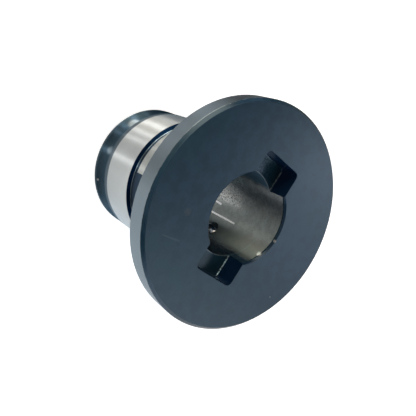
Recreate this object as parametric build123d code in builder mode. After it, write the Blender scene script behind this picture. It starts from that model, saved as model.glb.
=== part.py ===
from build123d import *
import os
from math import cos, radians, sin

# A reducing adapter for quick-change tapping chucks. Its shank plugs into the spindle of the
# larger chuck size, and its bore takes a tap holder of the next smaller size, which two balls
# and an open spring ring around the shank hold in.
# The part stands on the rear end of its shank: Z = 0 is that end, +Z runs along the axis to the
# front face, and X runs along the two drive slots. Lengths are in millimetres, angles in degrees.

# Shank and flange
overall_length = 41.0
shank_diameter = 31.0
flange_diameter = 48.0
flange_thickness = 5.0
flange_front_chamfer = 0.65
flange_back_chamfer = 0.3
tail_chamfer = 0.3

# Bore for the smaller tap holder
bore_diameter = 19.0
bore_mouth_chamfer = 0.35
bore_rear_chamfer = 0.6

# Drive slots in the front face, for the two dogs of the smaller tap holder
slot_width = 10.5
slot_across = 27.0
slot_depth = 4.6
slot_corner_radius = 1.1
slot_floor_round = 0.3

# Drive dogs behind the flange, for the slots of the larger spindle
dog_width = 14.0
dog_across = 39.0
dog_length = 5.0
dog_chamfer = 0.6
dog_root_relief = 0.3

# Locking groove near the tail, where the balls of the larger spindle catch
locking_groove_height = 3.85
locking_groove_width = 4.7
locking_groove_depth = 0.9

# Retaining balls, and their holes from the ring groove through the wall of the bore
ball_setback = 17.9
ball_angle = 58.0
ball_count = 2
ball_reach = 1.08
ball_clearance = 0.05

# Spring ring, an open band of flat spring steel, and the groove that it lies in. The groove is
# wider than the ring, mostly behind it.
ring_width = 6.0
ring_thickness = 0.9
ring_edge_chamfer = 0.12
ring_gap_angle = 87.5
ring_front_gap = 0.5
ring_rear_gap = 2.4
ring_clearance = 0.06
ring_to_ball_clearance = 0.04
ring_groove_depth = 1.1
ring_groove_corner_chamfer = 0.2

# Radii
shank_radius = shank_diameter / 2
flange_radius = flange_diameter / 2
dog_radius = dog_across / 2
bore_radius = bore_diameter / 2
ring_groove_radius = shank_radius - ring_groove_depth
ring_inner_radius = ring_groove_radius + ring_clearance

# A ball reaches from the spring ring to a little way inside the bore, which makes it a 6 mm ball.
# Its hole is drilled from outside and ends in a round seat. The seat breaks into the bore in a
# mouth narrower than the ball, so the ball stands out into the bore but can't fall through.
ball_inner_point = bore_radius - ball_reach
ball_outer_point = ring_inner_radius - ring_to_ball_clearance
ball_radius = (ball_outer_point - ball_inner_point) / 2
ball_from_axis = (ball_outer_point + ball_inner_point) / 2
ball_hole_radius = ball_radius + ball_clearance

# Heights above the rear end
front_face = overall_length
flange_back = front_face - flange_thickness
slot_floor = front_face - slot_depth
dog_end = flange_back - dog_length
ball_height = front_face - ball_setback
ring_groove_low = ball_height - ring_width / 2 - ring_rear_gap
ring_groove_high = ball_height + ring_width / 2 + ring_front_gap
locking_groove_low = locking_groove_height - locking_groove_width / 2
locking_groove_high = locking_groove_height + locking_groove_width / 2

# The balls stand evenly round the axis, and the ring's gap lies a quarter turn from the first
ball_angles = [ball_angle + index * 360 / ball_count for index in range(ball_count)]
ring_start_angle = ball_angle - 90 + ring_gap_angle / 2

os.makedirs("parts", exist_ok=True)


def write_part(part, name):
    """Labels a finished piece and writes it to parts/name.step."""
    part.label = name
    export_step(part, f"parts/{name}.step")


def circles_of_radius(edges, radius):
    """Picks the circles and arcs that have the given radius."""
    return edges.filter_by(GeomType.CIRCLE).filter_by(lambda edge: abs(edge.radius - radius) < 0.001)


# The body is one piece of steel: turned, milled at the dogs and slots, bored, and drilled for
# the balls
with BuildPart() as adapter_body:
    # Turned outline, with a collar behind the flange that the dogs are cut from
    with BuildSketch(Plane.XZ):
        with BuildLine():
            Polyline(
                (shank_radius, locking_groove_low),
                (shank_radius, tail_chamfer),
                (shank_radius - tail_chamfer, 0),
                (0, 0),
                (0, front_face),
                (flange_radius, front_face),
                (flange_radius, flange_back),
                (dog_radius, flange_back),
                (dog_radius, dog_end + dog_chamfer),
                (dog_radius - dog_chamfer, dog_end),
                (shank_radius, dog_end),
                (shank_radius, ring_groove_high),
                (ring_groove_radius, ring_groove_high),
                (ring_groove_radius, ring_groove_low),
                (shank_radius, ring_groove_low),
                (shank_radius, locking_groove_high),
            )
            ThreePointArc(
                (shank_radius, locking_groove_high),
                (shank_radius - locking_groove_depth, locking_groove_height),
                (shank_radius, locking_groove_low),
            )
        make_face()
    revolve(axis=Axis.Z)
    flange_rims = circles_of_radius(edges(), flange_radius)
    chamfer(flange_rims.filter_by_position(Axis.Z, front_face, front_face), flange_front_chamfer)
    chamfer(flange_rims.filter_by_position(Axis.Z, flange_back, flange_back), flange_back_chamfer)
    chamfer(circles_of_radius(edges(), ring_groove_radius), ring_groove_corner_chamfer)

    # The collar is milled away on both sides, to just under the ground shank so that the spindle's
    # nose reaches the flange there. It leaves two dogs in line with the slots.
    with BuildSketch(Plane.XY.offset(dog_end)):
        Circle(flange_radius)
        Circle(shank_radius - dog_root_relief, mode=Mode.SUBTRACT)
        Rectangle(flange_diameter, dog_width, mode=Mode.SUBTRACT)
    extrude(amount=dog_length, mode=Mode.SUBTRACT)

    # Both slots are one pocket across the axis, cut by an end mill with rounded corners
    with BuildSketch(Plane.XY.offset(front_face)):
        RectangleRounded(slot_across, slot_width, slot_corner_radius)
    extrude(amount=-slot_depth, mode=Mode.SUBTRACT)
    fillet(edges().filter_by_position(Axis.Z, slot_floor, slot_floor), slot_floor_round)

    # Through bore, bevelled at the mouth between the slots and at the rear end
    Hole(bore_radius)
    bore_rims = circles_of_radius(edges(), bore_radius)
    chamfer(bore_rims.filter_by_position(Axis.Z, front_face, front_face), bore_mouth_chamfer)
    chamfer(bore_rims.filter_by_position(Axis.Z, 0, 0), bore_rear_chamfer)

    # Ball holes, drilled from the floor of the ring groove with a round-nosed cutter
    with Locations((0, 0, ball_height)):
        with PolarLocations(ball_from_axis, ball_count, start_angle=ball_angle):
            Sphere(ball_hole_radius, mode=Mode.SUBTRACT)
            Cylinder(
                ball_hole_radius,
                shank_radius,
                rotation=(0, 90, 0),
                align=(Align.CENTER, Align.CENTER, Align.MIN),
                mode=Mode.SUBTRACT,
            )
write_part(adapter_body.part, "adapter_body")

# Hardened steel balls, one in each hole
for number, angle in enumerate(ball_angles, start=1):
    ball_x = ball_from_axis * cos(radians(angle))
    ball_y = ball_from_axis * sin(radians(angle))
    with BuildPart() as retaining_ball:
        with Locations((ball_x, ball_y, ball_height)):
            Sphere(ball_radius)
    write_part(retaining_ball.part, f"retaining_ball_{number}")

# The spring ring is a flat band bent to an open circle. Its section is swept about the axis from
# one side of the gap to the other.
ring_start = Plane(
    origin=(0, 0, ball_height),
    x_dir=(cos(radians(ring_start_angle)), sin(radians(ring_start_angle)), 0),
    z_dir=(sin(radians(ring_start_angle)), -cos(radians(ring_start_angle)), 0),
)
with BuildPart() as spring_ring:
    with BuildSketch(ring_start):
        with Locations((ring_inner_radius + ring_thickness / 2, 0)):
            Rectangle(ring_thickness, ring_width)
        chamfer(vertices(), ring_edge_chamfer)
    revolve(axis=Axis.Z, revolution_arc=360 - ring_gap_angle)
write_part(spring_ring.part, "spring_ring")
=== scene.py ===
from math import cos, pi, radians, sin

import bpy
import numpy as np
from mathutils import Matrix, Vector


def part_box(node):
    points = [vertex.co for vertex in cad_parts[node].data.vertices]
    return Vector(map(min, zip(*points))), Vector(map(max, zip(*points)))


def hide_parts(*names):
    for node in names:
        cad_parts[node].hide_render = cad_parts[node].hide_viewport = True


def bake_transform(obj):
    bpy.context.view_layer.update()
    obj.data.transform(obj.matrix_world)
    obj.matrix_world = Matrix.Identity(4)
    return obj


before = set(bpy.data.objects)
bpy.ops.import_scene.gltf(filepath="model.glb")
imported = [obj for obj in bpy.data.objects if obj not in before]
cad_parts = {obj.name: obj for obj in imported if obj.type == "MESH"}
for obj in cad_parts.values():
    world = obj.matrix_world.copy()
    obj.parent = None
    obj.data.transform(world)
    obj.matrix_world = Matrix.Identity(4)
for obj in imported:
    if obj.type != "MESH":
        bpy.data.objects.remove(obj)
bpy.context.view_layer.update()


# The view: a camera close above the front face, rolled so that the shank points up and to the left.
# Its place and its two directions are in the part's own frame, in metres. The picture is an
# off-centre crop, so the pixel that the camera points straight at isn't the picture's middle.
camera_place = Vector((0.00956286, -0.07409664, 0.11653968))
camera_right = Vector((-0.54246, 0.66544, 0.51276))
camera_up = Vector((-0.83609, -0.48706, -0.25244))
camera_lens = 45.815
picture_size = 416
centre_pixel = (169.386, 173.662)

camera_back = camera_right.cross(camera_up)
camera_axes = Matrix((camera_right, camera_up, camera_back)).transposed().to_4x4()
camera = bpy.data.objects.new("camera", bpy.data.cameras.new("camera"))
bpy.context.scene.collection.objects.link(camera)
camera.matrix_world = Matrix.Translation(camera_place) @ camera_axes
camera.data.lens = camera_lens
camera.data.sensor_width = 36
camera.data.shift_x = 0.5 - centre_pixel[0] / picture_size
camera.data.shift_y = centre_pixel[1] / picture_size - 0.5
camera.data.clip_start = 0.002
camera.data.clip_end = 20
bpy.context.scene.camera = camera
bpy.context.scene.view_settings.view_transform = "Standard"


# The studio: a dim sky with soft bright patches, like windows, a white floor, and upright strips of
# light. It has the first node materials, so the functions that wire nodes are here. An azimuth runs
# from +X to +Y, and it is in degrees, as an elevation is.
def way_to(azimuth, elevation=0):
    """The direction at an azimuth and an elevation."""
    round_axis, raised = radians(azimuth), radians(elevation)
    return Vector((cos(round_axis) * cos(raised), sin(round_axis) * cos(raised), sin(raised)))


def add_node(tree, kind, inputs=None, **settings):
    """Adds a node. inputs gives each input a number, a colour or another node's output."""
    node = tree.nodes.new(kind)
    for name, value in settings.items():
        setattr(node, name, value)
    for name, value in (inputs or {}).items():
        if isinstance(value, bpy.types.NodeSocket):
            tree.links.new(value, node.inputs[name])
        else:
            node.inputs[name].default_value = value
    return node


def maths(tree, operation, first, second=0.0, third=0.0):
    """The output of one Math node."""
    inputs = {0: first, 1: second, 2: third}
    return add_node(tree, "ShaderNodeMath", inputs, operation=operation).outputs[0]


def product(tree, result, *others):
    """All the values multiplied by one another."""
    for value in others:
        result = maths(tree, "MULTIPLY", result, value)
    return result


def highest(tree, result, *others):
    """The highest of all the values."""
    for value in others:
        result = maths(tree, "MAXIMUM", result, value)
    return result


def vectors(tree, operation, first, second=(0, 0, 0)):
    """The outputs of one Vector Math node."""
    inputs = {0: first, 1: second}
    return add_node(tree, "ShaderNodeVectorMath", inputs, operation=operation).outputs


def ramp(tree, value, low, high, to_low=0.0, to_high=1.0):
    """Goes smoothly from to_low, where value is low, to to_high, where it is high."""
    inputs = {"Value": value, "From Min": low, "From Max": high, "To Min": to_low, "To Max": to_high}
    return add_node(tree, "ShaderNodeMapRange", inputs, interpolation_type="SMOOTHSTEP").outputs[0]


def mixed(tree, share, first, second):
    """A colour between two colours, which are the node's inputs 6 and 7 and its output 2."""
    inputs = {0: share, 6: first, 7: second}
    return add_node(tree, "ShaderNodeMix", inputs, data_type="RGBA").outputs[2]


sky = bpy.data.worlds.new("sky")
bpy.context.scene.world = sky
sky.use_nodes = True
tree = sky.node_tree
tree.nodes.clear()
direction = add_node(tree, "ShaderNodeTexCoord").outputs["Generated"]


def glow(azimuth, elevation, core, edge, colour):
    """A soft round patch of sky: the colour within core degrees of its middle, fading out at edge."""
    nearness = vectors(tree, "DOT_PRODUCT", direction, way_to(azimuth, elevation))["Value"]
    share = ramp(tree, nearness, cos(radians(edge)), cos(radians(core)))
    return mixed(tree, share, (0, 0, 0, 1), colour)


sky_colour = (0.06, 0.065, 0.075)
for patch in (
    glow(azimuth=181, elevation=7, core=4, edge=14, colour=(0.4, 0.55, 0.75, 1)),
    glow(azimuth=216, elevation=25, core=4, edge=25, colour=(4.7, 4.1, 3.2, 1)),
    glow(azimuth=248, elevation=31, core=4, edge=18, colour=(0.8, 0.65, 0.45, 1)),
    glow(azimuth=292, elevation=35, core=10, edge=36, colour=(0.38, 0.37, 0.34, 1)),
    glow(azimuth=20, elevation=10, core=10, edge=42, colour=(1.4, 1.45, 1.55, 1)),
    glow(azimuth=58, elevation=42, core=6, edge=30, colour=(2.3, 2.35, 2.35, 1)),
    glow(azimuth=100, elevation=40, core=2, edge=9, colour=(2.5, 2.6, 3.0, 1)),
    glow(azimuth=110.5, elevation=37.5, core=1, edge=6, colour=(6.5, 6.7, 7.0, 1)),
):
    sky_colour = vectors(tree, "ADD", sky_colour, patch)["Vector"]
seen = add_node(tree, "ShaderNodeLightPath").outputs["Is Camera Ray"]
sky_colour = mixed(tree, seen, sky_colour, (1, 1, 1, 1))
light = add_node(tree, "ShaderNodeBackground", {"Color": sky_colour, "Strength": 1.0})
add_node(tree, "ShaderNodeOutputWorld", {"Surface": light.outputs[0]})


def new_material(name):
    """A new material with an empty tree, and its tree."""
    material = bpy.data.materials.new(name)
    material.use_nodes = True
    material.node_tree.nodes.clear()
    return material, material.node_tree


def position(tree):
    """The place on a piece, in the part's own frame, and its X, Y and Z."""
    place = add_node(tree, "ShaderNodeTexCoord").outputs["Object"]
    return place, *add_node(tree, "ShaderNodeSeparateXYZ", {0: place}).outputs


floor_size = 3.0
floor_drop = 0.00003
floor_white = (0.92, 0.92, 0.92, 1)
floor_dark = (0.3, 0.3, 0.3, 1)
camera_boost = 0.75
dark_spot = (0.004, -0.055, 0)

floor_mesh = bpy.data.meshes.new("floor")
square = ((-1, -1), (1, -1), (1, 1), (-1, 1))
corners = [(x * floor_size, y * floor_size, -floor_drop) for x, y in square]
floor_mesh.from_pydata(corners, [], [(0, 1, 2, 3)])
floor = bpy.data.objects.new("floor", floor_mesh)
bpy.context.scene.collection.objects.link(floor)

# A wedge of the floor around azimuth 160 looks dark in the steel, from 45 mm outwards
paper, tree = new_material("white_floor")
rays = add_node(tree, "ShaderNodeLightPath").outputs
place, x, y, z = position(tree)
azimuth = product(tree, maths(tree, "ARCTAN2", y, x), 180 / pi)
from_axis = vectors(tree, "LENGTH", place)["Value"]
lit_side = product(tree, ramp(tree, azimuth, -178, -150), ramp(tree, azimuth, 100, 140, 1.0, 0.0))
dark_side = product(tree, maths(tree, "SUBTRACT", 1.0, lit_side), ramp(tree, from_axis, 0.030, 0.045))
darker = product(tree, rays["Is Glossy Ray"], dark_side)
white = mixed(tree, darker, floor_white, floor_dark)
matt = add_node(tree, "ShaderNodeBsdfDiffuse", {"Color": white})

# The rest of the floor has extra light that only the steel mirrors. It grows from side to side, is
# weak close round the shank and at a dark spot in front of the part, and is strong in the bore.
mirrored = maths(
    tree, "ADD",
    ramp(tree, azimuth, -172, -140, 0.0, 0.41),
    ramp(tree, azimuth, -128, -62, 0.0, 0.34),
)
in_bore = product(
    tree,
    ramp(tree, azimuth, -130, -105, 1.5, 0.7),
    ramp(tree, azimuth, -95, -45, 1.0, 1.65),
    ramp(tree, from_axis, 0.0095, 0.0125, 1.0, 0.0),
)
mirrored = product(
    tree,
    mirrored,
    ramp(tree, azimuth, 100, 140, 1.0, 0.0),
    ramp(tree, azimuth, -30, 15, 1.0, 0.5),
    highest(tree, ramp(tree, from_axis, 0.0165, 0.0205, 0.2, 1.0), in_bore),
    ramp(tree, vectors(tree, "DISTANCE", place, dark_spot)["Value"], 0.006, 0.020, 0.25, 1.0),
    rays["Is Glossy Ray"],
)
whiter = maths(tree, "MULTIPLY_ADD", rays["Is Camera Ray"], camera_boost, mirrored)
extra = add_node(tree, "ShaderNodeEmission", {"Color": (1, 1, 1, 1), "Strength": whiter})
both = add_node(tree, "ShaderNodeAddShader", {0: matt.outputs[0], 1: extra.outputs[0]})
add_node(tree, "ShaderNodeOutputMaterial", {"Surface": both.outputs[0]})
floor_mesh.materials.append(paper)

# Four strips stand to the left of the camera and one behind it, lower than the front face. Only the
# shank and the flange's rim catch them, as bright lines along the ground steel.
strip_distance = 0.7
strip_height = 0.022
strip_length = 0.036


def add_strip(name, azimuth, width, watts):
    """An upright strip of light, aimed at the axis."""
    way = way_to(azimuth)
    data = bpy.data.lights.new(name, "AREA")
    data.shape = "RECTANGLE"
    data.size = width
    data.size_y = strip_length
    data.energy = watts
    lamp = bpy.data.objects.new(name, data)
    bpy.context.scene.collection.objects.link(lamp)
    lamp.location = way * strip_distance + Vector((0, 0, strip_height))
    lamp.rotation_euler = way.to_track_quat("Z", "Y").to_euler()
    lamp.visible_camera = False


add_strip("strip_far_left", azimuth=200, width=0.03, watts=0.2)
add_strip("strip_left", azimuth=219, width=0.08, watts=0.88)
add_strip("strip_middle", azimuth=237, width=0.05, watts=0.6)
add_strip("strip_right", azimuth=250, width=0.04, watts=0.42)
add_strip("strip_front", azimuth=281, width=0.03, watts=0.52)


# The adapter body: one turned and milled piece of steel, blackened all over in a hot oxide bath and
# then ground bare on the middle of the shank, behind the flange and in the bore.
def steel_shader(tree, colour, metal, roughness, marks, marks_height, anisotropy, tint):
    """A Principled shader of steel, with fine marks in its skin.

    An anisotropy of 1 draws the gloss out along the axis, as marks that run round it do.
    """
    bump = add_node(tree, "ShaderNodeBump", {"Height": marks, "Distance": marks_height})
    round_axis = add_node(tree, "ShaderNodeTangent", direction_type="RADIAL", axis="Z")
    return add_node(tree, "ShaderNodeBsdfPrincipled", {
        "Base Color": colour,
        "Metallic": metal,
        "Roughness": roughness,
        "Normal": bump.outputs[0],
        "IOR": 1.5,
        "Specular Tint": tint,
        "Anisotropic": anisotropy,
        "Anisotropic Rotation": 0.25,
        "Tangent": round_axis.outputs[0],
    }).outputs[0]


def between(tree, share, first, second):
    """A number between two numbers, which are the node's inputs 2 and 3 and its output 0."""
    inputs = {0: share, 2: first, 3: second}
    return add_node(tree, "ShaderNodeMix", inputs, data_type="FLOAT").outputs[0]


def layered(tree, colour, *layers):
    """A colour with others laid over it one by one, each given as its share and its colour."""
    for share, upper in layers:
        colour = mixed(tree, share, colour, upper)
    return colour


def band(tree, value, low, high, edge):
    """1 between low and high and 0 outside, with soft edges of that width."""
    rising = ramp(tree, value, low - edge / 2, low + edge / 2)
    falling = ramp(tree, value, high - edge / 2, high + edge / 2, 1.0, 0.0)
    return product(tree, rising, falling)


def near(tree, value, middle, reach, edge):
    """1 within reach of the middle and 0 outside, with soft edges of that width."""
    return band(tree, value, middle - reach, middle + reach, edge)


def noise(tree, place, scale, detail=4.0, roughness=0.5):
    """A noise pattern's value, from 0 to 1."""
    inputs = {"Vector": place, "Scale": scale, "Detail": detail, "Roughness": roughness}
    return add_node(tree, "ShaderNodeTexNoise", inputs).outputs["Fac"]


def turning_marks(tree, along, angle):
    """Fine lines that run round the axis: noise along the surface, drawn out far round it."""
    drawn_out = {"X": along, "Y": product(tree, angle, 0.00002)}
    rings = add_node(tree, "ShaderNodeCombineXYZ", drawn_out).outputs[0]
    return noise(tree, rings, 9000.0, 2.0)


def spot(tree, place, centre, radius):
    """1 at a point, fading out to 0 at a distance from it."""
    away = vectors(tree, "DISTANCE", place, centre)["Value"]
    return ramp(tree, away, radius * 0.4, radius, 1.0, 0.0)


def line_mark(tree, place, first, last, width):
    """1 along the straight line between two points, fading out sideways."""
    way = Vector(last) - Vector(first)
    from_first = vectors(tree, "SUBTRACT", place, first)["Vector"]
    along = vectors(tree, "DOT_PRODUCT", from_first, way.normalized())["Value"]
    held = maths(tree, "MINIMUM", maths(tree, "MAXIMUM", along, 0.0), way.length)
    inputs = {0: way.normalized(), "Scale": held}
    nearest = add_node(tree, "ShaderNodeVectorMath", inputs, operation="SCALE").outputs["Vector"]
    away = vectors(tree, "DISTANCE", from_first, nearest)["Value"]
    return ramp(tree, away, width * 0.3, width, 1.0, 0.0)


# Radii, and heights above the rear end. A land is ground from its first height to its second. The
# slots' corner lines lie between these Y, on both sides, and run between these X.
shank_radius = 0.0155
bore_radius = 0.0095
flange_radius = 0.024
front_height = 0.041
front_bevel = 0.04035
back_bevel = 0.0363
slot_floor = 0.0364
ring_groove_radius = 0.0144
ring_groove_low = 0.0177
ring_groove_high = 0.0266
middle_land = (0.0076, ring_groove_low)
front_land = (ring_groove_high, 0.0310)
corner_sides = (0.00494, 0.0052)
corner_ends = (-0.0126, 0.0131)

# What lies within the skin of a radius is on that surface, and the blur is its soft edge
skin = 0.00004
blur = 0.00002

oxide_colour = (0.010, 0.033, 0.056, 1)
oxide_dark = (0.006, 0.023, 0.042, 1)
oxide_green = (0.006, 0.04, 0.05, 1)
turned_colour = (0.058, 0.096, 0.128, 1)
turned_dark = (0.043, 0.077, 0.106, 1)
rim_colour = (0.146, 0.178, 0.198, 1)
# The rim's worn bevel lines, painted as highlights
worn_highlight_colour = (0.28, 0.35, 0.4, 1)
ground_colour = (0.545, 0.56, 0.555, 1)
ground_dark = (0.49, 0.505, 0.5, 1)
# The honed bore wall in painted light, then in painted shade
honed_in_light = (0.68, 0.72, 0.7, 1)
honed_in_shade = (0.27, 0.335, 0.34, 1)
white_tint = (1, 1, 1, 1)
blue_tint = (0.6, 0.8, 1.0, 1)

blackened, tree = new_material("blackened_and_ground_steel")
place, x, y, height = position(tree)
flat = vectors(tree, "MULTIPLY", place, (1, 1, 0))["Vector"]
out = vectors(tree, "LENGTH", flat)["Value"]
angle = maths(tree, "ARCTAN2", y, x)
cloud = noise(tree, place, 90.0, 6.0, 0.6)
smear = noise(tree, place, 55.0, 3.0, 0.55)
mottle = noise(tree, place, 420.0, 5.0, 0.65)
grain = noise(tree, place, 2600.0, 3.0, 0.6)
wander = maths(tree, "MULTIPLY_ADD", noise(tree, place, 160.0), 0.0004, -0.0002)
marks = turning_marks(tree, maths(tree, "SUBTRACT", out, height), angle)

# Ground bare: the middle of the shank, the part behind the flange, and the bore away from the slots
on_shank = near(tree, out, shank_radius, skin, blur)
on_rim = near(tree, out, flange_radius, skin, blur)
middle = band(tree, maths(tree, "ADD", height, wander), *middle_land, 0.0002)
front = band(tree, height, *front_land, 0.0001)
turn = product(tree, maths(tree, "ABSOLUTE", angle), 180 / pi)
ragged_turn = maths(tree, "ADD", turn, maths(tree, "MULTIPLY_ADD", cloud, 20.0, -10.0))
honed = product(
    tree, ramp(tree, ragged_turn, 42.0, 52.0), ramp(tree, ragged_turn, 145.0, 156.0, 1.0, 0.0)
)
below_bevel = ramp(tree, height, front_height - 0.0007, front_height - 0.0006, 1.0, 0.0)
in_bore = product(tree, near(tree, out, bore_radius, skin, blur), below_bevel)
ground = product(tree, on_shank, highest(tree, middle, front))
ground = highest(tree, ground, product(tree, in_bore, honed))

# Painted highlights: thin lines along the slot floors' corners, along the edge where those floors
# break into the bore, and a spot at its mouth. Worn bare: two lines that a tool left along the bore,
# painted white as glints, a chip at its mouth, and a chip on the tail
wavy = maths(tree, "ADD", maths(tree, "ABSOLUTE", y), product(tree, wander, 0.6))
corner_highlights = product(
    tree,
    band(tree, wavy, *corner_sides, 0.00006),
    band(tree, height, slot_floor - 0.0001, slot_floor + 0.00016, 0.00006),
    ramp(tree, out, bore_radius + 0.00002, bore_radius + 0.0001),
    ramp(tree, grain, 0.4, 0.55, 0.15, 1.0),
    band(tree, x, *corner_ends, 0.0004),
    ramp(tree, x, -0.001, 0.001, 0.35, 1.0),
)
floor_edge_highlight = product(
    tree,
    band(tree, height, slot_floor - 0.00012, slot_floor + 0.00004, 0.00004),
    band(tree, out, bore_radius - 0.00004, bore_radius + 0.00012, 0.00004),
    ramp(tree, grain, 0.35, 0.55, 0.1, 0.4),
)
highlight_lines = highest(tree, corner_highlights, floor_edge_highlight)
glinting_tool_lines = highest(
    tree,
    line_mark(tree, place, (-0.00164, 0.00936, 0.0175), (-0.00143, 0.00939, 0.0207), 0.00032),
    line_mark(tree, place, (0.00118, 0.00943, 0.0189), (0.00121, 0.00942, 0.0280), 0.00032),
)
mouth_highlight = spot(tree, place, (0.0044, 0.0083, 0.0402), 0.0007)
mouth_chip = spot(tree, place, (0.0004, 0.0097, 0.0409), 0.0004)
tail_chip = spot(tree, place, (0.0097, -0.0119, 0.0018), 0.0004)
ground = highest(tree, ground, highlight_lines, mouth_highlight, mouth_chip, tail_chip)

# The bore's wall has painted light and shade: darker on its +X side, lighter towards -X, and a
# painted pool of light deep down on its -X side
deep = product(
    tree,
    ramp(tree, height, 0.026, 0.030, 1.0, 0.0),
    ramp(tree, turn, 97.0, 108.0),
    in_bore,
    ramp(tree, grain, 0.3, 0.55, 0.2, 1.0),
)
blotch = noise(tree, place, 450.0, 5.0, 0.7)
wall = mixed(tree, ramp(tree, ragged_turn, 62.0, 88.0), honed_in_shade, honed_in_light)
wall = layered(
    tree, wall,
    (ramp(tree, ragged_turn, 110.0, 126.0), (0.97, 1.0, 0.98, 1)),
    (ramp(tree, blotch, 0.38, 0.6, 0.4, 0.0), (0.38, 0.41, 0.39, 1)),
    (deep, (1.0, 1.0, 0.95, 1)),
    (ramp(tree, grain, 0.3, 0.5, 0.35, 0.0), (0.3, 0.31, 0.3, 1)),
    (glinting_tool_lines, (1.0, 1.0, 1.0, 1)),
    (mouth_highlight, (0.6, 0.7, 0.75, 1)),
)
bare = layered(
    tree, ground_colour,
    (ramp(tree, cloud, 0.35, 0.65), ground_dark),
    (in_bore, wall),
    (highlight_lines, (0.45, 0.68, 0.8, 1)),
)

# Blackened flange: slot walls darker and bluer with painted shade, a grainy painted patch of light on
# one slot's floor, and marks of handling on the front face. Its back, the dogs and the black strips in
# the bore are darker with painted shade, and one of those strips has a bluish stain.
shaded_slot_walls = product(
    tree,
    band(tree, height, slot_floor + 0.0001, front_height - 0.0001, 0.0001),
    band(tree, out, bore_radius + 0.0001, 0.0145, 0.0001),
)
lit_floor_patch = product(
    tree,
    band(tree, height, slot_floor - 0.0001, slot_floor + 0.0003, 0.0001),
    ramp(tree, out, bore_radius + 0.0001, bore_radius + 0.0002),
    ramp(tree, grain, 0.48, 0.6, 0.0, 0.8),
    ramp(tree, x, -0.006, 0.0, 1.0, 0.1),
    ramp(tree, y, 0.0, 0.0035, 1.0, 0.1),
)
shade_behind_flange = ramp(tree, height, 0.0358, 0.0364, 0.9, 0.0)
stain = product(tree, in_bore, ramp(tree, turn, 120.0, 150.0))
smudge = product(
    tree,
    spot(tree, place, (0.0057, -0.0140, 0.0410), 0.0010),
    ramp(tree, grain, 0.35, 0.65, 0.3, 1.0),
    0.55,
)
scratch = line_mark(tree, place, (0.0116, -0.0159, 0.0410), (0.0110, -0.0121, 0.0410), 0.00024)
speck = spot(tree, place, (0.0107, 0.0175, 0.0410), 0.00018)
mottled = ramp(tree, mottle, 0.35, 0.65)
black = layered(
    tree, mixed(tree, mottled, oxide_dark, oxide_colour),
    (ramp(tree, smear, 0.5, 0.75, 0.0, 0.7), oxide_green),
    (shaded_slot_walls, (0.0025, 0.0145, 0.046, 1)),
    (lit_floor_patch, (0.05, 0.09, 0.12, 1)),
    (shade_behind_flange, (0.0015, 0.007, 0.016, 1)),
    (stain, (0.07, 0.14, 0.2, 1)),
    (smudge, (0.062, 0.06, 0.056, 1)),
    (product(tree, scratch, 0.22), (0.1, 0.13, 0.16, 1)),
    (speck, (0.2, 0.22, 0.24, 1)),
)

# Blackened shank: finely turned in the ring groove, in the locking groove and on the tail. The ring
# groove's rear wall is painted a lighter navy, as painted light in the flange's shade, with a thin
# light line at its rear corner. A painted highlight runs along the tail's edge, two painted highlights
# lie in the locking groove, and its front half has a lighter painted sheen and is a little smoother.
turned = product(
    tree,
    band(tree, out, ring_groove_radius - 0.00005, shank_radius + 0.0001, blur),
    ramp(tree, height, ring_groove_high + 0.0002, ring_groove_high + 0.0004, 1.0, 0.0),
)
in_ring_groove = product(tree, turned, ramp(tree, height, 0.015, 0.016))
groove_floor = product(
    tree, in_ring_groove, ramp(tree, out, ring_groove_radius, ring_groove_radius + 0.00003, 1.0, 0.0)
)
lit_groove_wall = product(tree, in_ring_groove, near(tree, height, ring_groove_low, skin, 0.00004))
groove_corner = product(
    tree, in_ring_groove,
    band(tree, out, ring_groove_radius + 0.00004, ring_groove_radius + 0.00018, 0.00004),
    ramp(tree, height, ring_groove_low + 0.00002, ring_groove_low + 0.00006),
)
tail_edge_highlight = product(
    tree, turned,
    band(tree, height, 0.0004, 0.0009, 0.0001),
    ramp(tree, mottle, 0.4, 0.6, 0.2, 0.8),
)
groove_highlights = highest(
    tree,
    spot(tree, place, (-0.00652, -0.01308, 0.0036), 0.0021),
    product(tree, spot(tree, place, (0.00216, -0.01446, 0.0036), 0.0015), 0.65),
)
groove_highlights = product(tree, maths(tree, "POWER", groove_highlights, 1.5), ramp(tree, marks, 0.3, 0.6, 0.6, 1.0))
smooth_sheen_band = product(tree, turned, band(tree, height, 0.0048, 0.0078, 0.0004))
black = layered(
    tree, black,
    (turned, mixed(tree, mottled, turned_dark, turned_colour)),
    (groove_floor, (0.046, 0.07, 0.105, 1)),
    (lit_groove_wall, (0.013, 0.06, 0.17, 1)),
    (groove_corner, (0.32, 0.42, 0.46, 1)),
    (tail_edge_highlight, (0.2, 0.27, 0.31, 1)),
    (groove_highlights, (0.34, 0.4, 0.44, 1)),
    (smooth_sheen_band, (0.105, 0.13, 0.15, 1)),
)

# The flange's rim is worn through in places along its two bevels, and these lines are painted as
# highlights
worn_rim_highlight = product(
    tree,
    highest(
        tree,
        near(tree, height, front_bevel, 0.00007, 0.00006),
        near(tree, height, back_bevel, 0.00006, 0.00006),
    ),
    ramp(tree, out, flange_radius - 0.0003, flange_radius - 0.0001),
    ramp(tree, noise(tree, place, 700.0), 0.45, 0.65, 0.0, 0.4),
)
colour = layered(tree, black, (ground, bare), (on_rim, rim_colour), (worn_rim_highlight, worn_highlight_colour))

# The front face is a little rougher than the other black places, the grooves and the tail are
# rougher than it, and the tool lines and the deep part of the bore are the smoothest
black_rough = ramp(tree, height, front_height - 0.0002, front_height - 0.0001, 0.17, 0.26)
black_rough = maths(tree, "MULTIPLY_ADD", smear, 0.08, black_rough)
black_rough = between(tree, turned, black_rough, ramp(tree, smooth_sheen_band, 0.0, 1.0, 0.42, 0.33))
smooth = highest(tree, glinting_tool_lines, product(tree, deep, 0.5))
ground_rough = ramp(tree, smooth, 0.0, 1.0, 0.35, 0.13)
ground_rough = maths(tree, "MULTIPLY_ADD", mouth_highlight, 0.2, ground_rough)
rough = between(tree, ground, black_rough, ground_rough)

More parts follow.
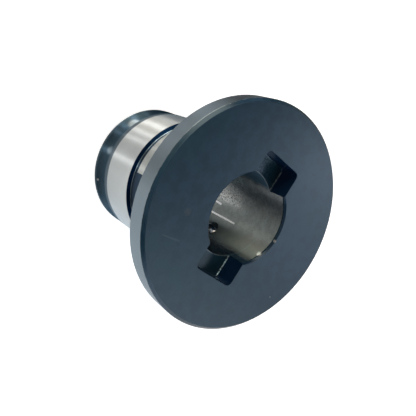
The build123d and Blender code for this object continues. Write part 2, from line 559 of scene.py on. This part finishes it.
# Black oxide reflects as glass does, with a blue sheen. Where turning or grinding streaked the steel
# it reflects as metal, in lines along the axis, and the rim is half as streaked.
streaked = highest(tree, ground, turned, on_rim)
oxide = steel_shader(tree, colour, streaked, rough, grain, 0.000002, 0.0, blue_tint)
streaks = steel_shader(tree, colour, streaked, rough, marks, 0.000004, 1.0, blue_tint)
plain = steel_shader(tree, colour, streaked, rough, grain, 0.000002, 0.0, white_tint)
both = add_node(tree, "ShaderNodeMixShader", {0: streaked, 1: oxide, 2: streaks}).outputs[0]
plain_share = product(tree, on_rim, 0.5)
steel = add_node(tree, "ShaderNodeMixShader", {0: plain_share, 1: both, 2: plain}).outputs[0]
add_node(tree, "ShaderNodeOutputMaterial", {"Surface": steel})
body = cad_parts["adapter_body"]
body.data.materials.clear()
body.data.materials.append(blackened)


# The retaining balls: two bearing balls of hardened steel, polished and a little scuffed. Each was
# dropped into its hole from outside and lies loose on the hole's narrower seat, under the ring.
ball_colour = (0.36, 0.37, 0.39, 1)
ball_dark = (0.3, 0.31, 0.33, 1)

polished, tree = new_material("polished_ball_steel")
place = add_node(tree, "ShaderNodeTexCoord").outputs["Object"]
scuffs = noise(tree, place, 1500.0, 5.0, 0.65)
colour = mixed(tree, ramp(tree, scuffs, 0.4, 0.7), ball_colour, ball_dark)
rough = ramp(tree, scuffs, 0.3, 0.8, 0.08, 0.2)
shader = steel_shader(tree, colour, 1.0, rough, scuffs, 0.000001, 0.0, white_tint)
add_node(tree, "ShaderNodeOutputMaterial", {"Surface": shader})
for name in ("retaining_ball_1", "retaining_ball_2"):
    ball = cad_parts[name]
    ball.data.materials.clear()
    ball.data.materials.append(polished)


# The spring ring: an open band of flat spring steel, bent round and ground on its outside. It snaps
# into its groove over both balls and springs open with them, so it is made here as two halves.
ring_low, ring_high = (corner.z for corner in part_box("spring_ring"))
ring_inner = 0.01446
ring_outer = 0.01536
ring_edge = 0.00012
ball_angle = 58.0
gap_angle = 87.5
closed_angle = ball_angle + 90
steps_round = 120
ring_colour = (0.39, 0.4, 0.38, 1)
ring_dark = (0.34, 0.35, 0.33, 1)


def ring_half(name, first, last):
    """A band with bevelled edges, carried round the axis from one angle to another, in degrees.

    Each point of the section is a radius and a height. Carried to an angle, its x is the radius
    times the angle's cosine, its y is the radius times the sine, and its z is the height.
    """
    section = np.array([
        (ring_inner + ring_edge, ring_low),
        (ring_outer - ring_edge, ring_low),
        (ring_outer, ring_low + ring_edge),
        (ring_outer, ring_high - ring_edge),
        (ring_outer - ring_edge, ring_high),
        (ring_inner + ring_edge, ring_high),
        (ring_inner, ring_high - ring_edge),
        (ring_inner, ring_low + ring_edge),
    ])
    turns = np.radians(np.linspace(first, last, steps_round))
    count = len(section)
    x = np.cos(turns)[:, None] * section[:, 0]
    y = np.sin(turns)[:, None] * section[:, 0]
    z = np.ones(steps_round)[:, None] * section[:, 1]
    points = np.stack([x, y, z], axis=-1).reshape(-1, 3)
    rows, columns = np.meshgrid(np.arange(steps_round - 1), np.arange(count), indexing="ij")
    here = rows * count + columns
    beside = rows * count + (columns + 1) % count
    faces = np.stack([here, here + count, beside + count, beside], axis=-1).reshape(-1, 4).tolist()
    faces += [list(range(count)), [len(points) - 1 - i for i in range(count)]]
    mesh = bpy.data.meshes.new(name)
    mesh.from_pydata(points.tolist(), [], faces)
    mesh.shade_smooth()
    mesh.set_sharp_from_angle(angle=radians(30))
    half = bpy.data.objects.new(name, mesh)
    bpy.context.scene.collection.objects.link(half)
    return half


spring_steel, tree = new_material("ground_spring_steel")
place, x, y, height = position(tree)
marks = turning_marks(tree, height, maths(tree, "ARCTAN2", y, x))
cloud = noise(tree, place, 120.0, 5.0, 0.6)
colour = mixed(tree, ramp(tree, cloud, 0.35, 0.65), ring_colour, ring_dark)
rough = ramp(tree, cloud, 0.3, 0.7, 0.32, 0.36)
shader = steel_shader(tree, colour, 1.0, rough, marks, 0.000004, 1.0, blue_tint)
add_node(tree, "ShaderNodeOutputMaterial", {"Surface": shader})

# For each half, where its ball lies, where the half begins and ends, and its ball's body.
halves = {
    "spring_ring_half_1": (ball_angle, closed_angle, ball_angle - 90 + gap_angle / 2, "ball_1"),
    "spring_ring_half_2": (ball_angle + 180, closed_angle, ball_angle + 270 - gap_angle / 2, "ball_2"),
}
for name, (towards, first, last, moving) in halves.items():
    half = ring_half(name, min(first, last), max(first, last))
    half.data.materials.append(spring_steel)
    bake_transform(half)
    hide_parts("spring_ring")
